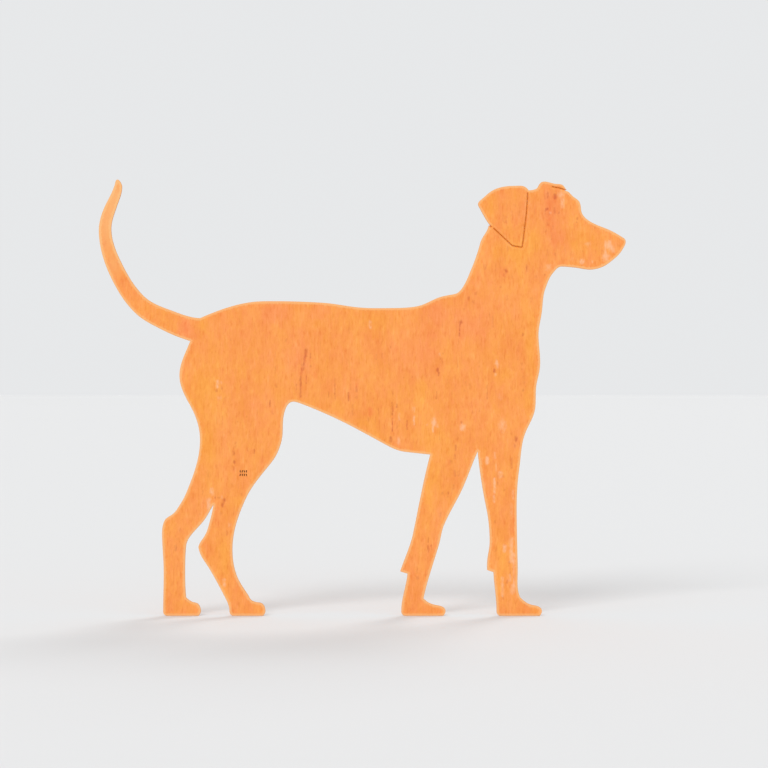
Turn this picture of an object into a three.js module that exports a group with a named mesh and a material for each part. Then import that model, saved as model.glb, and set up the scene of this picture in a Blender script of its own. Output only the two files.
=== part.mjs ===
// A garden figure of a standing short-haired hound, cut from one sheet of weathering mild steel.
// Millimetres, +Z up. The sheet stands in the XZ plane with the nose towards +X, and its soles rest
// on z = 0. The origin is below the middle of the figure, halfway through the sheet.

import * as THREE from 'three';

const sheetThickness = 3;
const kerfWidth = 2.2;
const stepsPerCurve = 6;

// The soles rest on the ground. A paw runs from its instep over the knuckle to the toe, and its knuckle
// stands part of the way out along its reach.
const groundLevel = 0;
const forepaw = { reach: 42, knuckleHeight: 20 };
const hindpaw = { reach: 28, knuckleHeight: 25 };
const knuckleShare = 0.62;
const knuckleSlope = -8;
const toeHeight = 9;
const heelRounding = 8;
const heelX = { foreleg: 255, trailingForeleg: 74, hindleg: -252, farHindleg: -378 };

// A landmark on the outline: its place, and the way the outline runs through it in degrees from +X.
// At a corner the outline leaves by a second angle.
function landmark(x, z, arriving, leaving = arriving) {
  return { x, z, arriving, leaving };
}

// The landmarks of each part of the body run clockwise, seen with the nose to the right: from the tip of
// the tail over the back to the nose, and back under the belly.
const tailTip = landmark(-464.5, 828, 0);

const tailInside = {
  tipShoulder: landmark(-459, 823, -58),
  tipFront: landmark(-456, 814, -90),
  upper: landmark(-466.5, 775.5, -108),
  bend: landmark(-476.5, 735, -90),
  middle: landmark(-462, 680, -65),
  lower: landmark(-414.5, 606.5, -44),
  sweep: landmark(-355.5, 577, -21),
  root: landmark(-308, 565, -2, 24),
};

const topline = {
  croup: landmark(-253, 586, 17),
  loin: landmark(-190, 597, 1),
  back: landmark(-73, 594, -4),
  saddle: landmark(-21, 587, -8),
  dip: landmark(40, 584, 1),
  witherFoot: landmark(106, 588, 12),
  withers: landmark(142, 603, 22),
  witherTop: landmark(176, 611, 12),
};

const neckBack = {
  bend: landmark(189, 621, 54),
  middle: landmark(207, 658, 67),
  nape: landmark(224, 707.5, 75),
  collar: landmark(231, 722, 56),
  earNotch: landmark(240, 741, 80, 119),
};

const earBackCut = [[240.8, 741.8], [245.5, 737.8]];

const ear = {
  backEdge: landmark(221, 777, 119),
  tip: landmark(220, 783, 78),
  fold: landmark(226.5, 790.5, 41),
  shoulder: landmark(251.5, 809.5, 24),
  crown: landmark(287, 816, 0),
  frontCorner: landmark(310, 813.5, -34),
  frontNotch: landmark(315.5, 807.5, -64, 2),
};

const skull = {
  foot: landmark(329, 810, 22),
  rise: landmark(335, 817, 66),
  dome: landmark(343, 824, 9),
  step: landmark(366, 820, -8),
  flapBend: landmark(377, 819, -12),
  flapTip: landmark(387.5, 808.5, -50, -30),
};

const browCut = [[387.1, 807.5], [376, 811.5], [360, 814.5]];

const face = {
  brow: landmark(400, 796, -39),
  browEnd: landmark(411.5, 786.5, -55),
  stop: landmark(416, 767, -76),
  bridgeStart: landmark(430, 750, -34),
  bridge: landmark(474, 730, -27),
  noseTop: landmark(495.5, 717.5, -32),
  noseTip: landmark(500, 710, -92),
  lip: landmark(493, 694, -121),
  chin: landmark(466.5, 668.5, -143),
  jaw: landmark(438, 657.5, -172),
  jawMiddle: landmark(404, 661, 174),
};

const chest = {
  throat: landmark(378, 663, 180),
  throatBend: landmark(363, 652, -132),
  neckFront: landmark(347.5, 621, -110),
  neckBase: landmark(341, 578, -97),
  hollow: landmark(334.5, 535, -91),
  breast: landmark(337.5, 477, -92),
  breastFold: landmark(331, 441, -101),
  brisket: landmark(328, 393, -99),
  forearm: landmark(308, 343, -109),
};

const forelegFront = {
  elbow: landmark(298, 280, -98),
  middle: landmark(293, 205, -90),
  pastern: landmark(295, 90, -89),
  instep: landmark(299, 36, -68, -48),
};

const forelegBack = {
  padTop: landmark(249, 83, 93, 163),
  padTip: landmark(237, 87, 156, 92),
  pastern: landmark(239, 117, 79),
  knee: landmark(242, 142, 90),
  inside: landmark(235, 207, 102),
  armpit: landmark(219, 312, 96, -114),
};

const trailingForelegFront = {
  elbow: landmark(182, 225, -118),
  middle: landmark(155, 172, -113),
  knee: landmark(146, 137, -106),
  instep: landmark(116, 33, -102, -48),
};

const trailingForelegBack = {
  padTop: landmark(86, 80, 84, 164),
  padTip: landmark(72, 84.5, 156, 72),
  pastern: landmark(86, 122, 70),
  knee: landmark(96, 154, 78),
  elbow: landmark(129, 306, 75, 174),
};

const belly = {
  front: landmark(80, 311.5, 173),
  brisket: landmark(50, 322, 152),
  middle: landmark(-11, 355, 152),
  tuckUp: landmark(-82, 389, 157),
  flankTurn: landmark(-117, 403, 160),
  flank: landmark(-131, 406.5, 179),
};

const hindlegFront = {
  flankBend: landmark(-141, 401.5, -130),
  flankDrop: landmark(-148, 386, -106),
  thigh: landmark(-152, 340, -97),
  stifle: landmark(-161, 310, -113),
  knee: landmark(-184, 277, -129),
  shin: landmark(-220.5, 224, -115),
  hock: landmark(-246.5, 132, -92),
  cannon: landmark(-237.5, 74, -68),
  instep: landmark(-212, 31, -62, -46),
};

const hindlegBack = {
  pastern: landmark(-258, 30, 117),
  cannon: landmark(-290.5, 90, 121),
  hockLow: landmark(-306, 114.5, 116),
  hock: landmark(-311, 131, 96, 76),
  hockTop: landmark(-302, 147.5, 53),
  shin: landmark(-290, 177, 75),
  crotch: landmark(-282.5, 211, 82, -124),
};

const farHindlegFront = {
  shin: landmark(-301.5, 180, -129),
  hock: landmark(-324.5, 154, -129),
  cannonTop: landmark(-334.5, 133, -96),
  cannon: landmark(-336.5, 83, -90),
  instep: landmark(-334.5, 35, -84, -48),
};

const farHindlegBack = {
  cannon: landmark(-377, 90, 91),
  hockLow: landmark(-380, 152, 91),
  hock: landmark(-375.5, 180.5, 64),
  hockTop: landmark(-360, 193, 38),
  shin: landmark(-344.5, 213.5, 57),
  thighLow: landmark(-325.5, 255, 69),
  thigh: landmark(-308, 336, 91),
  rumpLow: landmark(-326, 398, 119),
  rump: landmark(-347, 455, 91),
  dock: landmark(-334.5, 502.5, 66),
  tailNotch: landmark(-326.5, 521.5, 66, 163),
};

const tailOutside = {
  sweep: landmark(-377, 541.5, 153),
  lower: landmark(-429.5, 573.5, 137),
  middle: landmark(-479, 646.5, 115),
  bend: landmark(-500, 728, 92),
  upper: landmark(-483.5, 787.5, 62),
  tipBack: landmark(-470, 817.5, 72),
  tip: tailTip,
};

// The ear is cut free of the head but for two narrow bridges, one at each end of this cut.
const earCut = [[314, 803], [312, 767], [306, 717], [303.5, 699], [284.5, 702.5], [249, 736]];
const cutCornerRounding = 3;
const stepsPerCutCorner = 3;

const plateMaterial = new THREE.MeshStandardMaterial({
  color: new THREE.Color(0xfda054),
  roughness: 0.9,
  metalness: 0,
});

// The way round the figure: the outline so far, and the landmark that it has reached
const trace = { outline: new THREE.Shape(), at: tailTip };

// One smooth stretch to the next landmark. Its handles are as long as those of a round arc that turns
// by the same angle, so an even bend comes out round.
function curveTo(next) {
  const from = trace.at;
  const turn = THREE.MathUtils.euclideanModulo(next.arriving - from.leaving + 180, 360) - 180;
  const chord = Math.hypot(next.x - from.x, next.z - from.z);
  const handle = chord / (3 * Math.cos(THREE.MathUtils.degToRad(turn / 4)) ** 2);
  const start = THREE.MathUtils.degToRad(from.leaving);
  const end = THREE.MathUtils.degToRad(next.arriving);
  trace.outline.bezierCurveTo(
    from.x + handle * Math.cos(start),
    from.z + handle * Math.sin(start),
    next.x - handle * Math.cos(end),
    next.z - handle * Math.sin(end),
    next.x,
    next.z,
  );
  trace.at = next;
}

function lineTo(next) {
  trace.outline.lineTo(next.x, next.z);
  trace.at = next;
}

function follow(section) {
  Object.values(section).forEach(curveTo);
}

// A paw from the instep round the toe and along the flat sole, to where the heel rises from it
function followPaw(paw, heel) {
  const toeX = trace.at.x + paw.reach;
  const knuckleX = trace.at.x + knuckleShare * paw.reach;
  curveTo(landmark(knuckleX, paw.knuckleHeight, knuckleSlope));
  curveTo(landmark(toeX, toeHeight, -90));
  curveTo(landmark(toeX - toeHeight / 2, groundLevel, -135, 180));
  lineTo(landmark(heel + heelRounding, groundLevel, 180));
  curveTo(landmark(heel, groundLevel + heelRounding, 90));
}

// The route of a cut inside the outline, with its corners rounded
function roundedRoute(corners) {
  const points = corners.map(([x, z]) => new THREE.Vector2(x, z));
  const last = points.length - 1;
  const route = new THREE.Path();
  route.moveTo(points[0].x, points[0].y);
  for (let i = 1; i < last; i += 1) {
    const corner = points[i];
    const before = points[i - 1].clone().sub(corner).setLength(cutCornerRounding).add(corner);
    const after = points[i + 1].clone().sub(corner).setLength(cutCornerRounding).add(corner);
    route.lineTo(before.x, before.y);
    route.quadraticCurveTo(corner.x, corner.y, after.x, after.y);
  }
  route.lineTo(points[last].x, points[last].y);
  return route.getPoints(stepsPerCutCorner);
}

// Both sides of such a cut: in along its route and out again, half a kerf to the right of the way
function kerfSides(corners) {
  const wayIn = roundedRoute(corners);
  const wayOut = wayIn.slice().reverse();
  return [wayIn, wayOut].flatMap((way) => way.map((point, i) => {
    const before = way[Math.max(i - 1, 0)];
    const after = way[Math.min(i + 1, way.length - 1)];
    const ahead = after.clone().sub(before).setLength(kerfWidth / 2);
    return new THREE.Vector2(point.x + ahead.y, point.y - ahead.x);
  }));
}

// A cut that opens into the outline
function followCut(corners) {
  kerfSides(corners).forEach((side) => trace.outline.lineTo(side.x, side.y));
}

function houndOutline() {
  trace.outline.moveTo(tailTip.x, tailTip.z);
  follow(tailInside);
  follow(topline);
  follow(neckBack);
  followCut(earBackCut);
  follow(ear);
  follow(skull);
  followCut(browCut);
  follow(face);
  follow(chest);
  follow(forelegFront);
  followPaw(forepaw, heelX.foreleg);
  follow(forelegBack);
  follow(trailingForelegFront);
  followPaw(forepaw, heelX.trailingForeleg);
  follow(trailingForelegBack);
  follow(belly);
  follow(hindlegFront);
  followPaw(hindpaw, heelX.hindleg);
  follow(hindlegBack);
  follow(farHindlegFront);
  followPaw(hindpaw, heelX.farHindleg);
  follow(farHindlegBack);
  follow(tailOutside);
  trace.outline.holes.push(new THREE.Path(kerfSides(earCut)));
  return trace.outline;
}

// The plate is extruded flat, then stood up on its soles with the middle of its thickness at y = 0.
function houndPlate() {
  const geometry = new THREE.ExtrudeGeometry(houndOutline(), {
    depth: sheetThickness,
    bevelEnabled: false,
    curveSegments: stepsPerCurve,
  });
  geometry.translate(0, 0, -sheetThickness / 2);
  geometry.rotateX(Math.PI / 2);
  const plate = new THREE.Mesh(geometry, plateMaterial);
  plate.name = 'hound_plate';
  return plate;
}

const hound = new THREE.Group();
hound.add(houndPlate());

export default hound;
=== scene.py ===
# A hound cut from one steel plate and left outdoors until it rusted bright orange.
# Sizes in the dictionaries are millimetres; the scene itself is in metres.

import math
import random

import bpy
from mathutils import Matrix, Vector, kdtree, noise
from mathutils.geometry import delaunay_2d_cdt


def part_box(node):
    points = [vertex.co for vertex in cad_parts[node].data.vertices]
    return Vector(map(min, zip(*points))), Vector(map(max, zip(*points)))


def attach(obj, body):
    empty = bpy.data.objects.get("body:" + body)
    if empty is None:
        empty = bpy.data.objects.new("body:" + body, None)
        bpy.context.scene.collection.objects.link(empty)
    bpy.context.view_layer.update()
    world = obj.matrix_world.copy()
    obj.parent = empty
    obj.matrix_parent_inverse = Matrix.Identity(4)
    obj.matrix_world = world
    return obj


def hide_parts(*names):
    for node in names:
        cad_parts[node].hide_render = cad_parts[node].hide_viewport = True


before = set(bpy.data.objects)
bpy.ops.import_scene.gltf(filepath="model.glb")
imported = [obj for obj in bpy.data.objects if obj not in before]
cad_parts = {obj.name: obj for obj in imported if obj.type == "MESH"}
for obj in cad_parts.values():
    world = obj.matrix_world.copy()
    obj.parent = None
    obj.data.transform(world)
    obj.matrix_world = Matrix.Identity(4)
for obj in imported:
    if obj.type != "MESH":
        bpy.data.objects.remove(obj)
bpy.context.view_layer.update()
plateLow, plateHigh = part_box("hound_plate")
mm = 0.001
random.seed(11)


# The camera, the lights and the floor.

studio = {
    "eye": (0.0412, -4.05, 0.440),  # level, looking along +Y
    "lens": 100,
    "floorRadius": 80,
    "floorColour": (0.66, 0.66, 0.66, 1),
    "skyColour": (0.80, 0.81, 0.82, 1),
    "skyStrength": 1.0,
    "keyStrength": 1.3,
    "keyAngle": 25,  # degrees across, so shadows stay soft
    "keyTurn": (52, 0, -28),
    "backStrength": 0.9,
    "backTurn": (50, 0, 150),
}


def makeCamera():
    camera = bpy.data.objects.new("camera", bpy.data.cameras.new("camera"))
    camera.location = studio["eye"]
    camera.rotation_euler = (math.radians(90), 0, 0)
    camera.data.lens = studio["lens"]
    bpy.context.scene.collection.objects.link(camera)
    bpy.context.scene.camera = camera


def makeSun(name, strength, turn):
    lamp = bpy.data.lights.new(name, "SUN")
    lamp.energy = strength
    lamp.angle = math.radians(studio["keyAngle"])
    sun = bpy.data.objects.new(name, lamp)
    sun.rotation_euler = [math.radians(degrees) for degrees in turn]
    bpy.context.scene.collection.objects.link(sun)


def makeStudio():
    makeCamera()
    makeSun("key", studio["keyStrength"], studio["keyTurn"])
    makeSun("back light", studio["backStrength"], studio["backTurn"])
    world = bpy.data.worlds.new("studio")
    world.use_nodes = True
    sky = world.node_tree.nodes["Background"]
    sky.inputs["Color"].default_value = studio["skyColour"]
    sky.inputs["Strength"].default_value = studio["skyStrength"]
    bpy.context.scene.world = world
    bpy.context.scene.view_settings.view_transform = "Standard"

    bpy.ops.mesh.primitive_circle_add(vertices=96, radius=studio["floorRadius"], fill_type="NGON")
    floor = bpy.context.active_object
    floor.name = "floor"
    paint = bpy.data.materials.new("pale floor")
    paint.use_nodes = True
    shader = paint.node_tree.nodes["Principled BSDF"]
    shader.inputs["Base Color"].default_value = studio["floorColour"]
    shader.inputs["Roughness"].default_value = 0.9
    shader.inputs["Specular IOR Level"].default_value = 0.1
    floor.data.materials.append(paint)


makeStudio()
print("studio ready")


# The cut line: the frame's outline, made smooth.

plate = {
    "lineStep": 2.0,          # along the cut line
    "cornerTurn": 26,         # degrees; a sharper turn stays a corner
    "lip": 0.45,              # how far the softened edge reaches onto the face
    "kerf": 2.2,              # the torch's slot at the front face
    "throat": 0.03,           # what is left open halfway through a slot
    "faceStep": 4.0,          # between points on the front face
    "backStep": 6.0,
    "rimRings": ((1.4, 2.0), (3.0, 3.0)),   # how far in from the edge, and how far apart
    "wave": 0.10,             # the sheet's own unevenness
    "waveSize": (70, 90),
    "scaleWave": 0.035,
    "scaleSize": (11, 19),
    "calmEdge": 6,            # the unevenness dies out this near the edge
    "ripple": 0.05,           # the torch's wander down the cut wall
    "rippleLength": 7,
    "sharpEdge": 50,          # degrees; a sharper edge isn't smoothed over
    "runDepth": 0.09,         # rust runs lie a little deeper
    "fleckHeight": 0.10,      # loose scale stands a little proud
    "dross": 0.22,            # beads along the back of the cut
    "beadLength": 5,
    "beadShare": 0.35,        # how much of the back edge carries them
    "rimHighlight": 5.4,               # how far the painted highlight along the edge reaches in from the cut line
}

# How the plate is laid flat for a texture: a square sheet with both faces nested on it and the cut
# wall in strips beside them.
bake = {
    "span": 1362.0,
    "margin": 5.0,
    "frontShift": 346.0,
    "backDrop": 517.0,
    "stripLeft": 1020.0,
    "stripBottom": 12.0,
    "stripLength": 324.0,
    "stripHeight": 16.0,
    "stripPitch": 24.0,
}

# Rows of the cut wall from front to back: share of the thickness, how far it draws in from the cut
# line as a share of the lip, how far a slot has narrowed there, and the share of dross it carries.
wallRows = (
    (0.0, 1.0, 0.0, 0.0),
    (0.018, 0.42, 0.0, 0.0),
    (0.075, 0.07, 0.06, 0.0),
    (0.2, 0.0, 0.16, 0.0),
    (0.38, 0.0, 0.5, 0.0),
    (0.6, 0.0, 1.0, 0.0),
    (0.8, 0.0, 0.85, 0.0),
    (0.94, -0.1, 0.62, 0.25),
    (1.0, 0.35, 0.54, 1.0),
    (1.0, 1.0, 0.5, 0.0),
)


# How the two walls of a slot find each other; reaches are shares of the kerf, turns are cosines.
slotSearch = {
    "reach": 1.5,
    "widest": 1.25,
    "mouth": 2.2,             # how far from the facing walls a slot's end still counts
    "ahead": 0.7,
    "behind": -0.3,
    "facing": -0.96,
    "sameWall": 1.9,          # a point this many gaps off along the line is on the same wall
}


def readCutLines(node):
    # The front face's border, in millimetres, each loop with the steel on its left.
    places, ids = {}, []
    for vertex in node.data.vertices:
        place = tuple(round(value, 6) for value in vertex.co)
        ids.append(places.setdefault(place, len(places)))
    corners = [Vector((x, z)) / mm for x, y, z in places]
    sides = set()
    for face in node.data.polygons:
        if face.normal.y < -0.9:
            ring = [ids[i] for i in face.vertices]
            sides.update(zip(ring, ring[1:] + ring[:1]))
    following = {a: b for a, b in sides if (b, a) not in sides}
    loops = []
    while following:
        first = min(following)
        loop = [first]
        after = following.pop(first)
        while after != first:
            loop.append(after)
            after = following.pop(after)
        loops.append([corners[i] for i in loop])
    return sorted(loops, key=len, reverse=True)


def roundLine(corners):
    # A smooth line through the frame's corners that keeps its real corners and its straight runs.
    corners = [corner for i, corner in enumerate(corners) if (corner - corners[i - 1]).length > 0.3]
    count = len(corners)
    chords = [corners[(i + 1) % count] - corners[i] for i in range(count)]
    sharp = math.radians(plate["cornerTurn"])
    arriving, leaving = [], []
    for i in range(count):
        before, after = chords[i - 1], chords[i]
        if before.angle(after) > sharp:
            arriving.append(before.normalized())
            leaving.append(after.normalized())
            continue
        if before.length > 3 * after.length:
            way = before
        elif after.length > 3 * before.length:
            way = after
        else:
            way = before.normalized() * after.length + after.normalized() * before.length
        arriving.append(way.normalized())
        leaving.append(way.normalized())
    line = []
    for i, chord in enumerate(chords):
        start, end = corners[i], corners[(i + 1) % count]
        pieces = max(1, round(chord.length / plate["lineStep"]))
        pull, push = leaving[i] * chord.length, arriving[(i + 1) % count] * chord.length
        for k in range(pieces):
            t = k / pieces
            line.append(start * (2 * t**3 - 3 * t**2 + 1) + pull * (t**3 - 2 * t**2 + t)
                        + end * (3 * t**2 - 2 * t**3) + push * (t**3 - t**2))
    return line


def lineNormals(line):
    # Away from the steel, stretched at corners so that both sides move alike.
    sharpest = 0.62
    normals = []
    for i, point in enumerate(line):
        before = (point - line[i - 1]).normalized()
        after = (line[(i + 1) % len(line)] - point).normalized()
        middle = (before + after).normalized()
        stretch = 1 / max(middle.dot(after), sharpest)
        normals.append(Vector((middle.y, -middle.x)) * stretch)
    return normals


def lineLengths(line):
    lengths = [0.0]
    for a, b in zip(line, line[1:] + line[:1]):
        lengths.append(lengths[-1] + (b - a).length)
    return lengths


def flat(point):
    return Vector((point.x, point.y, 0))


class CutLines:
    # Every loop of the cut, with what each point has beside it.
    def __init__(self, node):
        self.loops = [roundLine(corners) for corners in readCutLines(node)]
        self.normals = [lineNormals(line) for line in self.loops]
        self.lengths = [lineLengths(line) for line in self.loops]
        self.index = [(l, i) for l, line in enumerate(self.loops) for i in range(len(line))]
        self.tree = kdtree.KDTree(len(self.index))
        for k, (l, i) in enumerate(self.index):
            self.tree.insert(flat(self.loops[l][i]), k)
        self.tree.balance()
        self.slot, self.lip = [], []
        for l in range(len(self.loops)):
            beside = [self.lookAcross(l, i) for i in range(len(self.loops[l]))]
            self.slot.append(self.closeSlots(l, [faced for faced, thickness in beside]))
            self.lip.append([min(plate["lip"], 0.3 * thickness) * (1 - 0.6 * slot)
                             for (faced, thickness), slot in zip(beside, self.slot[l])])

    def lookAcross(self, l, i):
        # Is there another cut wall facing this one across a slot, and how much steel lies behind it?
        point, outward = self.loops[l][i], self.normals[l][i].normalized()
        faced, thickness = 0.0, 99.0
        look = slotSearch
        for place, k, distance in self.tree.find_range(flat(point), plate["kerf"] * look["reach"]):
            m, j = self.index[k]
            if m == l:
                along = abs(self.lengths[l][i] - self.lengths[l][j])
                along = min(along, self.lengths[l][-1] - along)
                if along < look["sameWall"] * distance + 0.1:
                    continue
            across = (self.loops[m][j] - point).dot(outward) / max(distance, 1e-6)
            if across < look["behind"]:
                thickness = min(thickness, distance)
            elif across > look["ahead"] and distance < plate["kerf"] * look["widest"]:
                if self.normals[m][j].normalized().dot(outward) < look["facing"]:
                    faced = 1.0
        return faced, thickness

    def closeSlots(self, l, faced):
        # A slot's square end counts as slot too, and the count fades out over its mouth.
        count, lengths = len(faced), self.lengths[l]
        reach = plate["kerf"] * slotSearch["mouth"]

        def facedWithin(i, way):
            j = i
            for k in range(count):
                j = (j + way) % count
                gone = abs(lengths[j] - lengths[i])
                if min(gone, lengths[-1] - gone) > reach:
                    return False
                if faced[j]:
                    return True
            return False

        closed = [1.0 if faced[i] or (facedWithin(i, 1) and facedWithin(i, -1)) else 0.0
                  for i in range(count)]
        return [(closed[i - 1] + 2 * closed[i] + closed[(i + 1) % count]) / 4 for i in range(count)]

    def nearest(self, point):
        return self.tree.find(flat(point))


lines = CutLines(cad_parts["hound_plate"])
print("cut line:", [len(line) for line in lines.loops], "points")


# Where the rust has run, reddened and flaked on the front face.

# Each mark: x and z of its top, how far it runs down, its width, its strength.
rustRuns = (
    # flank
    (-107, 507, 16, 6, 0.9), (-110, 492, 14, 5, 0.55), (-112, 479, 12, 6, 0.8), (-115, 470, 15, 6, 0.5),
    (-117, 455, 20, 4, 1.0), (-117, 436, 22, 4, 0.7), (-98, 500, 12, 4, 0.5), (-98, 477, 6, 4, 0.45),
    (-106, 456, 17, 3, 0.45), (-125, 441, 14, 3, 0.5), (-52, 452, 12, 3, 0.4), (-52, 440, 30, 3.5, 0.5),
    (-64, 426, 14, 3, 0.5), (-26, 425, 18, 3.5, 0.9), (-25, 548, 14, 4, 0.35), (-18, 402, 22, 4, 0.45),
    (-22, 441, 12, 3, 0.35), (-11, 436, 12, 5, 0.55), (-12, 420, 10, 8, 0.3), (27, 497, 12, 3, 0.35),
    (38, 500, 13, 4, 0.3), (54, 515, 8, 3, 0.3), (50, 492, 22, 4, 0.25), (17, 500, 4, 9, 0.25),
    (12, 378, 10, 5, 0.4), (31, 396, 16, 4, 0.35), (58, 431, 16, 4, 0.4), (57, 406, 16, 4, 0.65),
    (57, 390, 10, 5, 0.85), (57, 376, 28, 3, 0.7), (54, 341, 12, 5, 1.0), (66, 403, 9, 4, 0.6),
    (85, 372, 20, 4, 0.55), (96, 455, 4, 7, 0.4), (79, 454, 4, 5, 0.3), (66, 368, 14, 5, 0.35),
    (43, 336, 8, 4, 0.4),
    # rump
    (-277, 431, 7, 5, 0.75), (-267, 437, 8, 4, 0.5), (-163, 442, 10, 5, 0.5), (-165, 474, 15, 4, 0.35),
    (-175, 410, 14, 3, 0.75), (-170, 390, 10, 7, 0.3), (-238, 372, 9, 7, 0.3), (-219, 380, 4, 3, 0.4),
    (-250, 527, 6, 4, 0.4), (-278, 515, 6, 5, 0.25), (-145, 527, 8, 6, 0.35), (-261, 417, 10, 6, 0.35),
    (-266, 380, 22, 4, 0.25), (-277, 379, 16, 3, 0.25), (-140, 486, 14, 3, 0.25),
    # shoulder and chest
    (187, 561, 7, 7, 1.0), (185, 554, 14, 3, 0.75), (184, 538, 8, 4, 0.7), (183, 528, 14, 3, 0.3),
    (143, 471, 8, 5, 1.0), (145, 463, 8, 4, 0.9), (154, 500, 5, 7, 0.5), (150, 491, 6, 6, 0.5),
    (152, 484, 9, 4, 0.35), (251, 469, 8, 5, 1.0), (141, 426, 15, 3, 0.6), (181, 487, 16, 4, 0.35),
    (197, 449, 14, 5, 0.3), (204, 442, 12, 5, 0.3), (195, 430, 6, 3, 0.4), (162, 450, 14, 3, 0.3),
    (177, 440, 10, 3, 0.25), (206, 408, 14, 4, 0.3), (210, 391, 8, 4, 0.5), (222, 392, 10, 3, 0.4),
    (222, 486, 16, 4, 0.25), (237, 440, 30, 4, 0.4), (248, 570, 24, 4, 0.3), (242, 577, 16, 3, 0.3),
    (305, 538, 8, 4, 0.55), (296, 515, 14, 5, 0.3), (295, 492, 8, 4, 0.3), (303, 482, 16, 5, 0.3),
    (307, 458, 20, 7, 0.25), (305, 432, 8, 4, 0.45), (193, 584, 8, 3, 0.4), (204, 581, 4, 6, 0.3),
    (188, 371, 7, 5, 0.5), (181, 346, 16, 8, 0.35), (177, 326, 14, 4, 0.6), (176, 308, 12, 5, 0.5),
    (292, 342, 12, 7, 0.8), (283, 348, 6, 5, 0.35), (146, 340, 8, 3, 0.35),
    # neck
    (232, 669, 14, 7, 0.5), (272, 658, 7, 7, 0.95), (270, 651, 14, 6, 0.35), (312, 668, 16, 4, 0.6),
    (284, 651, 12, 5, 0.3), (263, 628, 6, 5, 0.35), (275, 610, 14, 8, 0.3), (337, 664, 7, 7, 0.3),
    (330, 648, 10, 8, 0.25), (202, 607, 8, 5, 0.65), (216, 616, 8, 6, 0.5), (212, 599, 7, 8, 0.55),
    (321, 606, 12, 5, 0.35), (276, 702, 12, 5, 0.35), (264, 700, 14, 4, 0.3), (253, 670, 16, 4, 0.25),
    (252, 640, 14, 3, 0.25), (335, 632, 5, 4, 0.35),
    # ear and head
    (273, 758, 14, 8, 0.35), (267, 762, 14, 4, 0.3), (290, 783, 8, 8, 0.3), (276, 742, 10, 4, 0.3),
    (284, 772, 16, 4, 0.25), (297, 770, 12, 5, 0.3), (352, 805, 14, 4, 0.6), (347, 802, 12, 3, 0.4),
    (366, 802, 12, 6, 1.0), (351, 775, 6, 5, 0.8), (347, 774, 12, 3, 0.6), (365, 776, 14, 4, 0.7),
    (373, 768, 6, 5, 0.5), (355, 765, 6, 4, 0.4), (352, 748, 8, 6, 0.45), (348, 736, 9, 5, 0.35),
    (362, 741, 8, 4, 0.4), (359, 729, 16, 3, 0.4), (352, 697, 16, 6, 0.35), (408, 757, 6, 4, 0.6),
    (407, 749, 4, 3, 0.5), (397, 693, 10, 6, 0.3), (419, 694, 4, 4, 0.4), (366, 690, 8, 4, 0.5),
    (456, 696, 12, 7, 0.35), (487, 706, 7, 6, 0.45), (441, 742, 8, 6, 0.35), (346, 650, 6, 4, 0.5),
    # thigh and hind legs
    (-241, 332, 13, 6, 0.35), (-244, 319, 16, 5, 0.65), (-243, 296, 8, 5, 0.75), (-243, 287, 12, 5, 0.35),
    (-217, 320, 8, 3, 0.5), (-205, 317, 10, 4, 0.6), (-277, 288, 10, 5, 0.35), (-293, 276, 14, 6, 0.35),
    (-266, 320, 20, 3, 0.25), (-214, 346, 10, 4, 0.3), (-247, 252, 9, 4, 0.3), (-229, 233, 6, 4, 0.5),
    (-262, 224, 8, 6, 0.9), (-265, 215, 9, 5, 0.9), (-272, 227, 5, 6, 0.65), (-279, 227, 5, 4, 0.6),
    (-268, 199, 8, 6, 0.4), (-303, 246, 16, 4, 0.3), (-301, 220, 9, 8, 0.3), (-308, 197, 6, 5, 0.35),
    (-245, 197, 6, 4, 0.35), (-256, 162, 11, 5, 0.4), (-354, 136, 15, 6, 0.5), (-351, 149, 6, 5, 0.5),
    (-346, 168, 12, 5, 0.3),
    # forelegs
    (168, 296, 8, 6, 0.6), (176, 277, 14, 5, 0.55), (183, 276, 12, 4, 0.4), (173, 251, 14, 5, 0.35),
    (152, 236, 8, 5, 0.5), (163, 236, 12, 4, 0.5), (148, 197, 14, 6, 0.45), (125, 150, 12, 3, 0.45),
    (125, 136, 16, 5, 0.55), (131, 136, 14, 3, 0.5), (104, 95, 16, 4, 0.35), (105, 76, 8, 6, 0.5),
    (283, 302, 24, 6, 0.5), (290, 327, 8, 7, 0.5), (257, 255, 8, 4, 0.55), (268, 268, 6, 5, 0.7),
    (270, 242, 7, 4, 0.45), (252, 183, 8, 4, 0.4), (254, 130, 10, 8, 0.35), (279, 105, 12, 4, 0.5),
    (281, 85, 14, 4, 0.4), (275, 70, 10, 4, 0.5), (267, 40, 10, 4, 0.5),
)

redPatches = (
    (-116, 472, 18, 9, 0.6), (-88, 480, 26, 9, 0.4), (-90, 460, 14, 12, 0.5), (-60, 440, 20, 12, 0.4),
    (-12, 443, 12, 10, 0.6), (15, 398, 20, 9, 0.9), (38, 410, 14, 9, 0.35), (60, 400, 30, 14, 0.5),
    (57, 372, 30, 8, 0.5), (66, 512, 14, 10, 0.4), (125, 560, 60, 12, 0.3), (-335, 560, 26, 12, 0.6),
    (-267, 575, 10, 10, 0.5), (140, 478, 12, 8, 0.5), (185, 550, 35, 12, 0.4), (206, 410, 30, 12, 0.3),
    (232, 380, 26, 14, 0.4), (268, 660, 20, 14, 0.6), (290, 760, 30, 12, 0.35), (355, 790, 40, 14, 0.5),
    (366, 800, 20, 9, 0.5), (352, 755, 20, 12, 0.5), (365, 730, 30, 16, 0.3), (-236, 318, 14, 6, 0.6),
    (-210, 317, 14, 12, 0.5), (-258, 286, 12, 12, 0.35), (165, 298, 14, 8, 0.4), (127, 140, 20, 12, 0.4),
    (298, 455, 20, 12, 0.3), (295, 410, 30, 20, 0.25), (-455, 645, 14, 9, 0.5), (-390, 575, 18, 10, 0.3),
)

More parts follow.
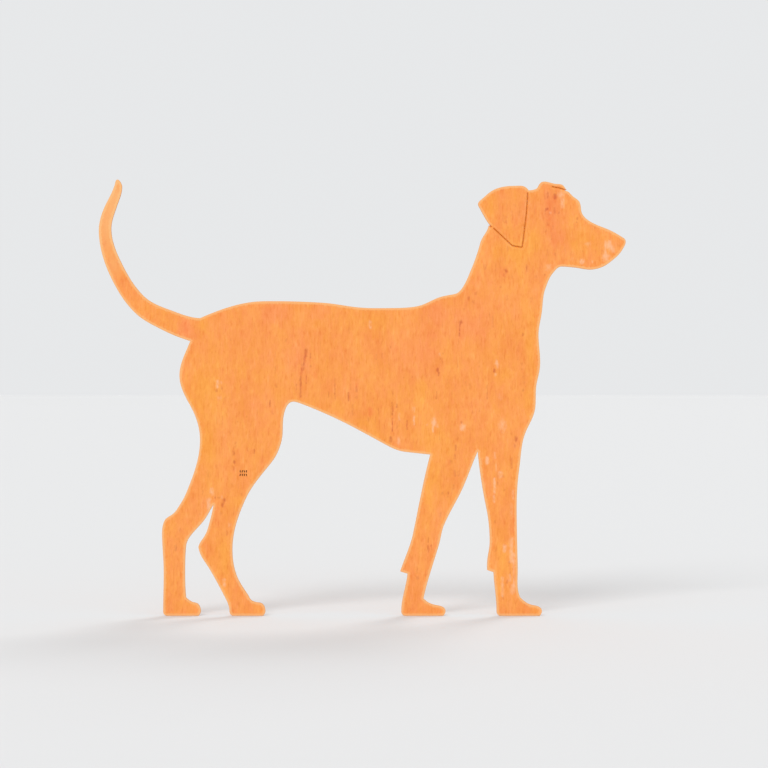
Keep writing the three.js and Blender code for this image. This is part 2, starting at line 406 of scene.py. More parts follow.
paleFlecks = (
    (-275, 448, 16, 6, 0.7), (-268, 447, 8, 5, 0.4), (-271, 418, 9, 12, 0.4), (70, 386, 16, 4, 0.5),
    (69, 340, 16, 6, 0.6), (98, 398, 12, 8, 0.5), (98, 380, 18, 4, 0.7), (136, 376, 16, 9, 0.9),
    (134, 362, 14, 4, 0.7), (123, 365, 5, 6, 0.4), (143, 365, 8, 4, 0.4), (15, 562, 18, 6, 0.5),
    (255, 486, 10, 7, 0.7), (257, 477, 8, 6, 0.4), (253, 461, 7, 4, 0.7), (262, 422, 14, 12, 0.3),
    (266, 374, 26, 16, 0.5), (190, 364, 13, 9, 0.95), (147, 500, 8, 5, 0.4), (378, 806, 12, 14, 0.7),
    (380, 793, 20, 8, 0.6), (357, 768, 6, 5, 0.5), (353, 668, 14, 12, 0.6), (417, 677, 10, 9, 0.9),
    (468, 713, 16, 9, 0.9), (461, 712, 26, 6, 0.5), (462, 687, 14, 13, 0.9), (475, 702, 14, 9, 0.7),
    (428, 711, 10, 12, 0.5), (437, 675, 6, 4, 0.5), (400, 680, 8, 24, 0.3), (-291, 224, 24, 8, 0.8),
    (-284, 244, 16, 6, 0.5), (-288, 244, 12, 4, 0.5), (-266, 229, 8, 4, 0.5), (-262, 72, 18, 7, 0.6),
    (-252, 178, 12, 8, 0.35), (237, 303, 16, 6, 0.95), (252, 312, 14, 5, 0.5), (254, 292, 18, 4, 0.4),
    (262, 276, 16, 8, 0.55), (251, 262, 30, 5, 0.8), (250, 230, 16, 5, 0.6), (283, 215, 30, 8, 0.3),
    (270, 136, 16, 7, 0.8), (283, 150, 50, 9, 0.6), (288, 120, 70, 6, 0.5), (280, 80, 16, 5, 0.6),
    (266, 75, 40, 6, 0.6), (285, 60, 20, 10, 0.5), (286, 240, 20, 5, 0.5),
)

# Broad zones: x, z, half width, half height, and how yellow (above zero) or pink (below zero) they are.
toneZones = (
    (-300, 440, 25, 60, 0.6), (-225, 470, 15, 30, 0.35), (-195, 450, 12, 25, 0.35), (-40, 395, 25, 18, 0.5),
    (0, 365, 25, 12, 0.4), (15, 560, 30, 20, 0.5), (30, 340, 20, 12, 0.4), (-85, 555, 10, 12, 0.4),
    (110, 415, 15, 35, 0.4), (125, 330, 40, 25, 0.35), (320, 510, 12, 60, 0.7), (318, 400, 12, 40, 0.6),
    (262, 450, 12, 20, 0.4), (265, 560, 14, 20, 0.3), (285, 690, 40, 20, 0.6), (325, 715, 15, 25, 0.5),
    (245, 775, 10, 20, 0.5), (430, 710, 30, 25, 0.5), (300, 660, 10, 50, 0.3), (-290, 310, 15, 60, 0.6),
    (-230, 215, 20, 20, 0.5), (125, 235, 8, 30, 0.6), (135, 270, 15, 30, 0.4), (-260, 100, 10, 60, 0.6),
    (-270, 40, 20, 25, 0.6), (265, 110, 15, 30, 0.4), (262, 60, 8, 25, 0.5), (-305, 555, 15, 20, 0.7),
    (-168, 575, 35, 25, -0.6), (-172, 540, 12, 60, -0.3), (-180, 490, 15, 30, -0.3),
    (-335, 545, 12, 20, -0.8), (-120, 490, 20, 40, -0.4), (95, 500, 60, 50, -0.3),
    (140, 575, 25, 25, -0.7), (200, 550, 60, 40, -0.5), (230, 580, 20, 50, -0.3),
    (355, 770, 18, 50, -0.7), (370, 720, 20, 25, -0.5), (290, 755, 15, 25, -0.4),
)

# Bleached paler, as the thin end of the tail is.
bleachedZones = ((-484, 740, 26, 60, 0.55), (-468, 800, 22, 40, 0.6), (-470, 665, 18, 26, 0.3))


# How a mark fades from its middle, and how its sides fray.
markShape = {"fade": 0.9, "full": 0.8, "fray": 0.75, "frayAcross": 0.42, "frayAlong": 0.16}


def markReach(mark):
    x, z, drop, width, strength = mark
    return Vector((x, z - drop / 2)), drop / 2 + width


def markAt(mark, place, seed):
    # A run with ragged sides: full along its middle, thinning out at both ends.
    x, z, drop, width, strength = mark
    across = (place.x - x) / (width * 0.5)
    middle = z - drop / 2
    along = max(0.0, abs(place.y - middle) - drop / 2 + width * 0.5) / (width * 0.5)
    shape = markShape
    body = math.exp(-shape["fade"] * across * across - shape["fade"] * along * along)
    where = Vector((place.x * shape["frayAcross"], place.y * shape["frayAlong"], seed))
    return strength * body * max(0.0, shape["full"] + shape["fray"] * noise.noise(where))


def zoneAt(zones, place):
    # What the broad zones add up to at a place, each fading out like a bell.
    total = 0.0
    for x, z, halfWidth, halfHeight, amount in zones:
        away = ((place.x - x) / halfWidth) ** 2 + ((place.y - z) / halfHeight) ** 2
        if away < 6:
            total += amount * math.exp(-1.2 * away)
    return total


# The back weathered by itself: how many marks, their least and greatest run, and the strongest.
backWear = {"run": (60, 6, 40, 0.8), "red": (20, 12, 40, 0.6), "fleck": (30, 6, 24, 0.8)}
backMarkWidths = (3, 8)
faintestMark = 0.25


def backMarks(count, lowest, highest, strongest):
    marks = []
    for k in range(count):
        x = random.uniform(plateLow.x, plateHigh.x) / mm
        z = random.uniform(plateLow.z, plateHigh.z) / mm
        marks.append((x, z, random.uniform(lowest, highest), random.uniform(*backMarkWidths),
                      random.uniform(faintestMark, strongest)))
    return marks


# The two short rows of strokes cut into the thigh.

strokes = {
    "left": -231.6,
    "top": 276.6,
    "rowPitch": 6.6,
    "pitch": 3.9,
    "length": 4.8,
    "width": 1.9,
    "slants": ((0.0, 0.5, -0.5, 0.0), (0.5, 0.0, 0.0, -0.5)),
    "depth": 0.5,
    "bevel": 0.35,
}


def strokeOutline(middle, slant, width, length):
    # A bar with round ends, anticlockwise.
    points = []
    for end in (0, 1):
        for k in range(5):
            turn = math.pi * (k / 4 + end)
            points.append(Vector((math.cos(turn) * width / 2,
                                  math.sin(turn) * width / 2 + (0.5 - end) * (length - width))))
    turned = [Vector((p.x + p.y * slant * 0.5, p.y)) for p in points]
    return [middle + p for p in turned]


def strokePairs():
    # Every stroke as (lip, floor): its line on the face and its smaller line at full depth.
    pairs = []
    for row, slants in enumerate(strokes["slants"]):
        for k, slant in enumerate(slants):
            middle = Vector((strokes["left"] + k * strokes["pitch"],
                             strokes["top"] - strokes["length"] / 2 - row * strokes["rowPitch"]))
            inner = strokes["bevel"] * 2
            pairs.append((strokeOutline(middle, slant, strokes["width"], strokes["length"]),
                          strokeOutline(middle, slant, strokes["width"] - inner, strokes["length"] - inner)))
    return pairs


# The plate's mesh.

class Sieve:
    # Keeps points from crowding each other.
    def __init__(self, cell):
        self.cell, self.cells = cell, {}

    def free(self, point, gap):
        steps = math.ceil(gap / self.cell)
        cx, cy = int(point.x // self.cell), int(point.y // self.cell)
        for ix in range(cx - steps, cx + steps + 1):
            for iy in range(cy - steps, cy + steps + 1):
                for other in self.cells.get((ix, iy), ()):
                    if (other - point).length_squared < gap * gap:
                        return False
        return True

    def add(self, point):
        self.cells.setdefault((int(point.x // self.cell), int(point.y // self.cell)), []).append(point)


def insideLine(point, loop):
    inside = False
    for a, b in zip(loop, loop[1:] + loop[:1]):
        if (a.y > point.y) != (b.y > point.y):
            if point.x < a.x + (point.y - a.y) / (b.y - a.y) * (b.x - a.x):
                inside = not inside
    return inside


def rowsInside(loops, z):
    # Where a level line at this height enters and leaves the steel.
    crossings = []
    for loop in loops:
        for a, b in zip(loop, loop[1:] + loop[:1]):
            if (a.y > z) != (b.y > z):
                crossings.append(a.x + (z - a.y) / (b.y - a.y) * (b.x - a.x))
    crossings.sort()
    return list(zip(crossings[::2], crossings[1::2]))


# How close the points of a face may stand: shares of a ring's spacing, a mark's width or the step.
scatter = {
    "cell": 2.0,
    "ringGap": 0.7,
    "ringInset": 0.85,
    "finest": 1.1,
    "fine": 0.24,
    "tall": 1.5,
    "markGap": 0.85,
    "markEdge": 0.9,
    "stepGap": 0.62,
    "stepEdge": 0.45,
    "strokeReach": 6,
}


def scatterPoints(borders, step, rings, marks, strokeLoops):
    # Points over one face: close along the edge and at the marks, wider apart between them.
    sieve = Sieve(scatter["cell"])
    for loop in borders + strokeLoops:
        for point in loop:
            sieve.add(point)
    points = []

    def offer(point, gap, edgeGap):
        if lines.nearest(point)[2] > edgeGap and sieve.free(point, gap):
            sieve.add(point)
            points.append(point)

    for inset, spacing in rings:
        for line, normals in zip(lines.loops, lines.normals):
            for point, normal in zip(line, normals):
                offer(point - normal.normalized() * inset, spacing * scatter["ringGap"],
                      inset * scatter["ringInset"])
    spans = {}

    def inSteel(point):
        row = round(point.y * 2)
        if row not in spans:
            spans[row] = rowsInside(borders, row / 2 + 0.013)
        return any(left < point.x < right for left, right in spans[row])

    for x, z, drop, width, strength in marks:
        fine = max(scatter["finest"], width * scatter["fine"])
        tall = fine * scatter["tall"]
        columns, rows = math.ceil((width * 0.9 + 1) / fine), math.ceil((drop / 2 + width * 0.5) / tall)
        for row in range(-rows, rows + 1):
            for column in range(-columns, columns + 1):
                shift = fine / 2 if row % 2 else 0.0
                point = Vector((x + column * fine + shift, z - drop / 2 + row * tall))
                if inSteel(point):
                    offer(point, fine * scatter["markGap"], scatter["markEdge"])
    height = step * math.sqrt(0.75)
    low, high = plateLow.z / mm, plateHigh.z / mm
    for row in range(1, int((high - low) / height)):
        z = low + row * height
        for left, right in rowsInside(borders, z):
            x = math.ceil(left / step) * step + (step / 2 if row % 2 else 0.0)
            while x < right:
                offer(Vector((x, z)), step * scatter["stepGap"], step * scatter["stepEdge"])
                x += step
    near = scatter["strokeReach"]
    return [point for point in points
            if not any(abs(point.x - loop[0].x) < near and abs(point.y - loop[0].y) < near
                       and insideLine(point, loop) for loop in strokeLoops)]


def triangulate(borders, loose, strokeLoops):
    # Triangles between the borders, as indices into borders + strokes + loose points.
    points, edges, borderEdges = [], [], []
    for loop in borders + strokeLoops:
        first = len(points)
        points += loop
        ring = [(first + i, first + (i + 1) % len(loop)) for i in range(len(loop))]
        edges += ring
        if len(points) <= sum(len(border) for border in borders):
            borderEdges += ring
    points += loose
    triangles, origins = delaunay_2d_cdt(points, edges, [], 0, 1e-6, True)[2:4]
    back = [origin[0] for origin in origins]
    triangles = [tuple(back[i] for i in triangle) for triangle in triangles]
    beside = {}
    for t, (a, b, c) in enumerate(triangles):
        beside[(a, b)] = beside[(b, c)] = beside[(c, a)] = t
    walls = set(borderEdges) | {(b, a) for a, b in borderEdges}
    reached = {beside[edge] for edge in borderEdges if edge in beside}
    front = list(reached)
    while front:
        a, b, c = triangles[front.pop()]
        for edge in ((b, a), (c, b), (a, c)):
            t = beside.get(edge)
            if t is not None and edge not in walls and t not in reached:
                reached.add(t)
                front.append(t)
    return [triangles[t] for t in sorted(reached)]


def shiftAt(l, i, row):
    # How far outward a wall point stands from the cut line.
    depth, inset, narrowed = row[:3]
    wander = Vector((lines.lengths[l][i] / plate["rippleLength"], depth * 2.5, l))
    ripple = plate["ripple"] * noise.noise(wander)
    slotFill = narrowed * (plate["kerf"] - plate["throat"]) / 2 * lines.slot[l][i]
    return slotFill - inset * lines.lip[l][i] + ripple * (depth % 1 > 0.1)


def faceRelief(place, edgeGap, marks):
    # How far the face stands out at a place: the sheet's own waves, sunk runs, raised scale.
    calm = min(1.0, edgeGap / plate["calmEdge"])
    (wide, tall), (scaleWide, scaleTall) = plate["waveSize"], plate["scaleSize"]
    wave = plate["wave"] * noise.noise(Vector((place.x / wide, place.y / tall, 3)))
    scale = plate["scaleWave"] * noise.noise(Vector((place.x / scaleWide, place.y / scaleTall, 8)))
    return calm * (wave + scale) - plate["runDepth"] * marks["run"] + plate["fleckHeight"] * marks["fleck"]


faceLayers = ("run", "red", "fleck", "tone", "bleach")
layers = faceLayers + ("rimHighlight", "slot")


def markValues(points, lists, zones, bleached, seed):
    # What each point of a face carries of the patina, and of the painted highlight along the edge.
    values = [dict.fromkeys(layers, 0.0) for point in points]
    tree = kdtree.KDTree(len(points))
    for k, point in enumerate(points):
        tree.insert(flat(point), k)
    tree.balance()
    for name, marks in lists.items():
        for mark in marks:
            middle, reach = markReach(mark)
            for place, k, distance in tree.find_range(flat(middle), reach):
                values[k][name] = min(1.0, values[k][name] + markAt(mark, points[k], seed))
    for point, value in zip(points, values):
        value["tone"] = zoneAt(zones, point)
        value["bleach"] = min(1.0, zoneAt(bleached, point))
        k, distance = lines.nearest(point)[1:]
        l, i = lines.index[k]
        # A paler band painted along the cut edge as a highlight, fading inward and weaker at slots.
        value["rimHighlight"] = max(0.0, 1 - distance / plate["rimHighlight"]) * (1 - 0.5 * lines.slot[l][i])
    return values


class PlateMesh:
    # Gathers the points, faces, patina layers and flattened places of the whole plate.
    def __init__(self):
        self.points, self.values = [], []
        self.faces, self.finishes, self.corners = [], [], []
        self.half = (plateHigh.y - plateLow.y) / 2 / mm
        self.rings = [[] for line in lines.loops]

    def addWalls(self):
        girth = [0.0]
        for a, b in zip(wallRows, wallRows[1:]):
            across = (a[1] - b[1]) * plate["lip"]
            girth.append(girth[-1] + math.hypot(across, (b[0] - a[0]) * 2 * self.half))
        strip = 0
        for l, line in enumerate(lines.loops):
            for r, row in enumerate(wallRows):
                self.rings[l].append(len(self.points))
                for i, (point, normal) in enumerate(zip(line, lines.normals[l])):
                    place = point + normal * shiftAt(l, i, row)
                    where = Vector((lines.lengths[l][i] / plate["beadLength"], 4.0, l))
                    bead = max(0.0, plate["beadShare"] + noise.noise(where))
                    y = -self.half + row[0] * 2 * self.half + row[3] * bead * plate["dross"]
                    self.points.append((place.x, y, place.y))
                    values = dict.fromkeys(layers, 0.0)
                    values["slot"] = lines.slot[l][i]
                    # The front and back lip rows carry the painted edge highlight, except in slots.
                    values["rimHighlight"] = (1 - lines.slot[l][i]) * (r in (0, 1, len(wallRows) - 1))
                    self.values.append(values)
            stripLength = bake["stripLength"]
            lengths = lines.lengths[l]
            for i in range(len(line)):
                j = (i + 1) % len(line)
                turn = int(lengths[i] // stripLength)
                left = bake["stripLeft"] + lengths[i] - turn * stripLength
                right = left + lengths[i + 1] - lengths[i]
                bottom = bake["stripBottom"] + (strip + turn) * bake["stripPitch"]
                for r in range(len(wallRows) - 1):
                    near, far = self.rings[l][r], self.rings[l][r + 1]
                    low = bottom + girth[r] / girth[-1] * bake["stripHeight"]
                    high = bottom + girth[r + 1] / girth[-1] * bake["stripHeight"]
                    self.faces.append((near + i, far + i, far + j, near + j))
                    self.corners += ((left, low), (left, high), (right, high), (right, low))
                    self.finishes.append(1)
            strip += int(lengths[-1] // stripLength) + 1

    def border(self, row):
        return [[Vector((self.points[ring[row] + i][0], self.points[ring[row] + i][2]))
                 for i in range(len(line))] for ring, line in zip(self.rings, lines.loops)]

    def addFace(self, row, step, rings, lists, zones, bleached, pairs, seed):
        front = row == 0
        borders = self.border(row)
        strokeLoops = [loop for pair in pairs for loop in pair]
        marks = [mark for group in lists.values() for mark in group]
        loose = scatterPoints(borders, step, rings, marks, strokeLoops)
        triangles = triangulate(borders, loose, strokeLoops)
        places = [point for loop in borders + strokeLoops for point in loop] + loose
        values = markValues(places, lists, zones, bleached, seed)
        numbers = [ring[row] + i for ring, loop in zip(self.rings, borders) for i in range(len(loop))]
        edgeCount = len(numbers)
        for number, value in zip(numbers, values):
            for name in faceLayers:
                self.values[number][name] = value[name]
        side = -1 if front else 1
        sunken = [k % 2 == 1 for k, loop in enumerate(strokeLoops) for point in loop]
        sunken += [False] * len(loose)
        for place, value, sunk in zip(places[edgeCount:], values[edgeCount:], sunken):
            out = -strokes["depth"] if sunk else faceRelief(place, lines.nearest(place)[2], value)
            numbers.append(len(self.points))
            self.points.append((place.x, side * (self.half + out), place.y))
            self.values.append(value)
        for triangle in triangles:
            a, b, c = triangle if front else triangle[::-1]
            self.faces.append((numbers[a], numbers[b], numbers[c]))
            self.corners += [self.flatPlace(places[i], front) for i in (a, b, c)]
            self.finishes.append(2 if any(i >= edgeCount and sunken[i - edgeCount] for i in triangle) else 0)

    def flatPlace(self, place, front):
        # The front face lies upright on the map, the back one turned round and tucked in under it.
        right, top = plateHigh.x / mm, plateHigh.z / mm
        if front:
            return (place.x - plateLow.x / mm + bake["frontShift"] + bake["margin"],
                    bake["span"] - bake["margin"] - (top - place.y))
        return (right - place.x + bake["margin"],
                bake["span"] - bake["margin"] - bake["backDrop"] - place.y)

    def build(self, name):
        mesh = bpy.data.meshes.new(name)
        mesh.from_pydata([Vector(point) * mm for point in self.points], [], self.faces)
        mesh.polygons.foreach_set("material_index", self.finishes)
        mesh.polygons.foreach_set("use_smooth", [True] * len(self.faces))
        flatMap = mesh.uv_layers.new(name="OFBake")
        flatMap.uv.foreach_set("vector", [value / bake["span"] for corner in self.corners
                                          for value in corner])
        for layer in layers:
            values = mesh.attributes.new(layer, "FLOAT", "POINT")
            values.data.foreach_set("value", [value[layer] for value in self.values])
        mesh.set_sharp_from_angle(angle=math.radians(plate["sharpEdge"]))
        mesh.update()
        return mesh


def buildHound():
    form = PlateMesh()
    form.addWalls()
    form.addFace(0, plate["faceStep"], plate["rimRings"],
                 {"run": rustRuns, "red": redPatches, "fleck": paleFlecks},
                 toneZones, bleachedZones, strokePairs(), 5.0)
    print("front face:", len(form.faces), "faces so far")
    backZones = [(x, z, halfWidth * 1.4, halfHeight * 1.2, random.uniform(-0.6, 0.6))
                 for x, z, halfWidth, halfHeight, amount in toneZones]
    form.addFace(len(wallRows) - 1, plate["backStep"], plate["rimRings"][:1],
                 {name: backMarks(*wear) for name, wear in backWear.items()},
                 backZones, (), [], 21.0)
    hound = bpy.data.objects.new("rusted_hound_plate", form.build("rusted_hound_plate"))
    bpy.context.scene.collection.objects.link(hound)
    return hound


hound = buildHound()
print("plate:", len(hound.data.vertices), "points,",
      sum(len(face.vertices) - 2 for face in hound.data.polygons), "triangles")


# Shader helpers and the effects that the finishes share.

def addNode(tree, kind, **settings):
    node = tree.nodes.new(kind)
    for name, value in settings.items():
        setattr(node, name, value)
    return node


def wire(tree, source, target):
    tree.links.new(source, target)


def attributeMask(tree, layer):
    return addNode(tree, "ShaderNodeAttribute", attribute_name=layer).outputs["Fac"]


def calculate(tree, operation, a, b, clamp=False):
    # One sum of two sockets or numbers.
    node = addNode(tree, "ShaderNodeMath", operation=operation, use_clamp=clamp)
    for socket, value in zip(node.inputs, (a, b)):
        if isinstance(value, (int, float)):
            socket.default_value = value
        else:
            wire(tree, value, socket)
    return node.outputs[0]


def times(tree, a, b):
    return calculate(tree, "MULTIPLY", a, b)


def blendColours(tree, amount, first, second, mode="MIX"):
    node = addNode(tree, "ShaderNodeMix", data_type="RGBA", blend_type=mode)
    for label, value in (("Factor", amount), ("A", first), ("B", second)):
        socket = node.inputs[label]
        if isinstance(value, (int, float)):
            socket.default_value = value
        elif isinstance(value, tuple):
            socket.default_value = (*value, 1)
        else:
            wire(tree, value, socket)
    return node.outputs["Result"]


def newGroup(name, values, output):
    # A group that takes a place and some values, and puts out one value.
    tree = bpy.data.node_groups.new(name, "ShaderNodeTree")
    tree.interface.new_socket("Place", in_out="INPUT", socket_type="NodeSocketVector")
    for label, value in values.items():
        socket = tree.interface.new_socket(label, in_out="INPUT", socket_type="NodeSocketFloat")
        socket.default_value = value
    tree.interface.new_socket(output, in_out="OUTPUT", socket_type="NodeSocketFloat")
    return tree, addNode(tree, "NodeGroupInput"), addNode(tree, "NodeGroupOutput")


def placeGroup(tree, group, **values):
    node = addNode(tree, "ShaderNodeGroup", node_tree=group)
    for label, value in values.items():
        socket = node.inputs[label]
        if isinstance(value, (int, float)):
            socket.default_value = value
        else:
            wire(tree, value, socket)
    return node


def makeWeatherStreaks():
    # Soft upright patches of a given width and length; Low and High set where they fade in and fill.
    tree, given, result = newGroup("weather streaks", {
        "Width": 10.0, "Length": 30.0, "Detail": 3.0, "Roughness": 0.6, "Low": 0.3, "High": 0.7,
        "Seed": 0.0}, "Mask")
    stretch = addNode(tree, "ShaderNodeCombineXYZ")
    wire(tree, calculate(tree, "DIVIDE", 1000.0, given.outputs["Width"]), stretch.inputs["X"])
    stretch.inputs["Y"].default_value = 1.0
    wire(tree, calculate(tree, "DIVIDE", 1000.0, given.outputs["Length"]), stretch.inputs["Z"])
    scaled = addNode(tree, "ShaderNodeVectorMath", operation="MULTIPLY")
    wire(tree, given.outputs["Place"], scaled.inputs[0])
    wire(tree, stretch.outputs[0], scaled.inputs[1])
    apart = addNode(tree, "ShaderNodeCombineXYZ")
    wire(tree, given.outputs["Seed"], apart.inputs["Y"])
    moved = addNode(tree, "ShaderNodeVectorMath", operation="ADD")
    wire(tree, scaled.outputs[0], moved.inputs[0])
    wire(tree, apart.outputs[0], moved.inputs[1])
    cloud = addNode(tree, "ShaderNodeTexNoise")
    wire(tree, moved.outputs[0], cloud.inputs["Vector"])
    wire(tree, given.outputs["Detail"], cloud.inputs["Detail"])
    wire(tree, given.outputs["Roughness"], cloud.inputs["Roughness"])
    cloud.inputs["Scale"].default_value = 1.0
    fade = addNode(tree, "ShaderNodeMapRange", interpolation_type="SMOOTHSTEP")
    wire(tree, cloud.outputs["Fac"], fade.inputs["Value"])
    wire(tree, given.outputs["Low"], fade.inputs["From Min"])
    wire(tree, given.outputs["High"], fade.inputs["From Max"])
    wire(tree, fade.outputs["Result"], result.inputs["Mask"])
    return tree


blisters = {"size": 2.6, "height": 0.8, "apart": 31.0, "Detail": 2.0, "Roughness": 0.5,
            "Low": 0.62, "High": 0.78}
sidesApart = 60.0
bumpStrength = 0.6


def makeRustGrain(streaks):
    # Mealy rust: a fine height with sparse blisters on it.
    spread = {label: blisters[label] for label in ("Detail", "Roughness", "Low", "High")}
    tree, given, result = newGroup("rust grain", {"Grain": 1.2, "Seed": 0.0}, "Height")
    fine = placeGroup(tree, streaks, Place=given.outputs["Place"], Width=given.outputs["Grain"],
                      Length=given.outputs["Grain"], Detail=4.0, Roughness=0.7, Low=0.2, High=0.8,
                      Seed=given.outputs["Seed"])
    coarse = times(tree, given.outputs["Grain"], blisters["size"])
    seed = calculate(tree, "ADD", given.outputs["Seed"], blisters["apart"])
    raised = placeGroup(tree, streaks, Place=given.outputs["Place"], Width=coarse, Length=coarse,
                        Seed=seed, **spread)
    height = times(tree, raised.outputs["Mask"], blisters["height"])
    wire(tree, calculate(tree, "ADD", fine.outputs["Mask"], height), result.inputs["Height"])
    return tree


def sidePlace(tree):
    # The place on the plate, with the two faces far enough apart to weather differently.
    where = addNode(tree, "ShaderNodeTexCoord").outputs["Object"]
    parts = addNode(tree, "ShaderNodeSeparateXYZ")
    wire(tree, where, parts.inputs[0])
    side = calculate(tree, "GREATER_THAN", parts.outputs["Y"], 0.0)
    place = addNode(tree, "ShaderNodeCombineXYZ")
    wire(tree, parts.outputs["X"], place.inputs["X"])
    wire(tree, times(tree, side, sidesApart), place.inputs["Y"])
    wire(tree, parts.outputs["Z"], place.inputs["Z"])
    return place.outputs[0]


def newFinish(name, specular):
    finish = bpy.data.materials.new(name)
    finish.use_nodes = True
    shader = finish.node_tree.nodes["Principled BSDF"]
    shader.inputs["Metallic"].default_value = 0.0
    shader.inputs["Specular IOR Level"].default_value = specular
    return finish, finish.node_tree, shader


def roughen(tree, shader, height, distance, low, high):
    # Bump and roughness from one height.
    bump = addNode(tree, "ShaderNodeBump")
    bump.inputs["Strength"].default_value = bumpStrength
    bump.inputs["Distance"].default_value = distance * mm
    wire(tree, height, bump.inputs["Height"])
    wire(tree, bump.outputs["Normal"], shader.inputs["Normal"])
    spread = addNode(tree, "ShaderNodeMapRange")
    wire(tree, height, spread.inputs["Value"])
    spread.inputs["To Min"].default_value = low
    spread.inputs["To Max"].default_value = high
    wire(tree, spread.outputs["Result"], shader.inputs["Roughness"])


# The face: bright orange rust.

softBand = {"Detail": 6.0, "Roughness": 0.95, "Low": 0.25, "High": 0.75}
thread = {"Detail": 2.0, "Roughness": 0.5}

faceRust = {
    "yellowOrange": (0.915, 0.353, 0.0645),
    "pinkOrange": (0.915, 0.296, 0.0905),
    "shade": (0.93, 0.80, 0.68),  # multiplies the orange at its darkest
    "bloom": (1.05, 1.17, 1.30),  # and at its palest
    "meal": 0.2,  # how much the fine grain shows in the colour
    "dashDark": (0.94, 0.82, 0.72),  # short upright dashes, darker and paler than the rust
    "dashPale": (1.03, 1.12, 1.24),
    "run": (0.465, 0.061, 0.025),
    "red": (0.85, 0.178, 0.051),
    "fleck": (0.93, 0.50, 0.28),
    # the paler colour painted along the cut edge as a highlight
    "rimHighlight": (0.90, 0.47, 0.19),
    "toneBand": {**softBand, "Width": 60, "Length": 150, "Seed": 3.0},
    "shadeBand": {**softBand, "Width": 50, "Length": 140, "Seed": 17.0},
    "hairStreak": {**thread, "Width": 2.6, "Length": 36, "Low": 0.58, "High": 0.8, "Seed": 29.0},
    "darkDash": {**thread, "Width": 3.4, "Length": 17, "Low": 0.52, "High": 0.72, "Seed": 53.0},
    "paleDash": {**thread, "Width": 4.2, "Length": 22, "Low": 0.52, "High": 0.72, "Seed": 67.0},
    "chips": {"Width": 2.4, "Length": 5.0, "Detail": 3.0, "Roughness": 0.6,
              "Low": 0.3, "High": 0.7, "Seed": 83.0},
    "grain": {"Grain": 1.3, "Seed": 41.0},
    "tonePull": 0.8,  # how far a tone zone shifts the soft bands
    "hairShare": 0.2,
    "markShares": (("red", 0.42), ("run", 0.5), ("fleck", 0.75)),
    "markGain": 1.75,
    "chipBite": 0.36,  # how much the chips eat away from a mark
    "rimHighlightBite": 0.2,
    "rimHighlightFade": 0.4,
    "rimHighlightShare": 0.75,
    "bump": 0.16,
    "roughness": (0.84, 0.96),
    "specular": 0.25,
}


def makeFaceRust(streaks, grain):
    look = faceRust
    finish, tree, shader = newFinish("bright orange rust", look["specular"])
    place = sidePlace(tree)

    def streak(name):
        return placeGroup(tree, streaks, Place=place, **look[name]).outputs["Mask"]

    zones = times(tree, attributeMask(tree, "tone"), look["tonePull"])
    tone = calculate(tree, "SUBTRACT", streak("toneBand"), zones, clamp=True)
    colour = blendColours(tree, tone, look["yellowOrange"], look["pinkOrange"])
    veil = blendColours(tree, streak("shadeBand"), look["shade"], look["bloom"])
    colour = blendColours(tree, 1.0, colour, veil, "MULTIPLY")
    hair = times(tree, streak("hairStreak"), look["hairShare"])
    colour = blendColours(tree, hair, colour, look["run"])
    mealy = placeGroup(tree, grain, Place=place, **look["grain"])
    meal = blendColours(tree, mealy.outputs["Height"], look["shade"], look["bloom"])
    colour = blendColours(tree, look["meal"], colour, meal, "MULTIPLY")
    for dash, tint in (("darkDash", "dashDark"), ("paleDash", "dashPale")):
        colour = blendColours(tree, streak(dash), colour, look[tint], "MULTIPLY")
    # The marks break up into chips and threads along their edges.
    chips = streak("chips")
    for layer, share in look["markShares"]:
        whole = times(tree, attributeMask(tree, layer), look["markGain"])
        bitten = times(tree, chips, look["chipBite"])
        broken = calculate(tree, "SUBTRACT", whole, bitten, clamp=True)
        colour = blendColours(tree, times(tree, broken, share), colour, look[layer])
    # Along the cut edge the face is painted paler: a painted highlight where light would catch the edge. The
    # bleached zones share its colour.
    edge = addNode(tree, "ShaderNodeMapRange", interpolation_type="SMOOTHSTEP")
    bitten = times(tree, chips, look["rimHighlightBite"])
    wire(tree, calculate(tree, "SUBTRACT", attributeMask(tree, "rimHighlight"), bitten), edge.inputs["Value"])
    edge.inputs["From Max"].default_value = look["rimHighlightFade"]
    rimLight = times(tree, edge.outputs["Result"], look["rimHighlightShare"])
    pale = calculate(tree, "ADD", rimLight, attributeMask(tree, "bleach"), clamp=True)
    colour = blendColours(tree, pale, colour, look["rimHighlight"])
    wire(tree, colour, shader.inputs["Base Color"])
    roughen(tree, shader, mealy.outputs["Height"], look["bump"], *look["roughness"])
    return finish


# The cut wall: drag lines from the torch, brighter rust inside the slots.

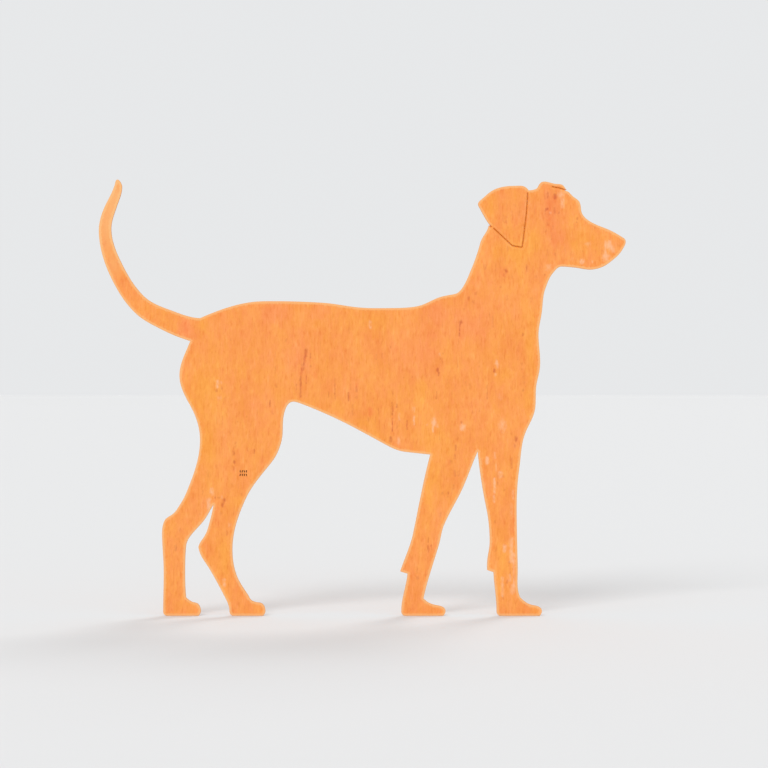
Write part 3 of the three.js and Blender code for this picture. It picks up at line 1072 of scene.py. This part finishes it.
edgeRust = {
    "open": (0.66, 0.22, 0.055),
    "slot": (0.80, 0.27, 0.045),
    "shade": (0.72, 0.66, 0.6),
    "bloom": (1.12, 1.15, 1.2),
    "drag": {**thread, "Width": 1.6, "Length": 1.6, "Low": 0.3, "High": 0.7, "Seed": 5.0},
    "grain": {"Grain": 0.9, "Seed": 11.0},
    "grainShare": 0.4,
    "rimHighlightShare": 0.75,
    "bump": 0.25,
    "roughness": (0.8, 0.94),
    "specular": 0.02,  # next to none, or the sky shows in the slots
}


def makeEdgeRust(streaks, grain):
    look = edgeRust
    finish, tree, shader = newFinish("rust on the cut edge", look["specular"])
    place = addNode(tree, "ShaderNodeTexCoord").outputs["Object"]
    drag = placeGroup(tree, streaks, Place=place, **look["drag"]).outputs["Mask"]
    colour = blendColours(tree, attributeMask(tree, "slot"), look["open"], look["slot"])
    veil = blendColours(tree, drag, look["shade"], look["bloom"])
    colour = blendColours(tree, 1.0, colour, veil, "MULTIPLY")
    # The lips of the cut wall get the same painted highlight.
    rimLight = times(tree, attributeMask(tree, "rimHighlight"), look["rimHighlightShare"])
    colour = blendColours(tree, rimLight, colour, faceRust["rimHighlight"])
    wire(tree, colour, shader.inputs["Base Color"])
    mealy = placeGroup(tree, grain, Place=place, **look["grain"]).outputs["Height"]
    height = calculate(tree, "ADD", times(tree, mealy, look["grainShare"]), drag)
    roughen(tree, shader, height, look["bump"], *look["roughness"])
    return finish


# The floor of the strokes: old dark rust.

strokeRust = {
    "dark": (0.10, 0.030, 0.010),
    "light": (0.17, 0.052, 0.014),
    "grain": {"Grain": 0.8, "Seed": 2.0},
    "bump": 0.12,
    "roughness": (0.85, 0.95),
    "specular": 0.05,
}


def makeStrokeRust(grain):
    look = strokeRust
    finish, tree, shader = newFinish("dark rust in the strokes", look["specular"])
    place = addNode(tree, "ShaderNodeTexCoord").outputs["Object"]
    mealy = placeGroup(tree, grain, Place=place, **look["grain"])
    colour = blendColours(tree, mealy.outputs["Height"], look["dark"], look["light"])
    wire(tree, colour, shader.inputs["Base Color"])
    roughen(tree, shader, mealy.outputs["Height"], look["bump"], *look["roughness"])
    return finish


streaks = makeWeatherStreaks()
grain = makeRustGrain(streaks)
for finish in (makeFaceRust(streaks, grain), makeEdgeRust(streaks, grain), makeStrokeRust(grain)):
    hound.data.materials.append(finish)
print("finishes ready")

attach(hound, "root")
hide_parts("hound_plate")
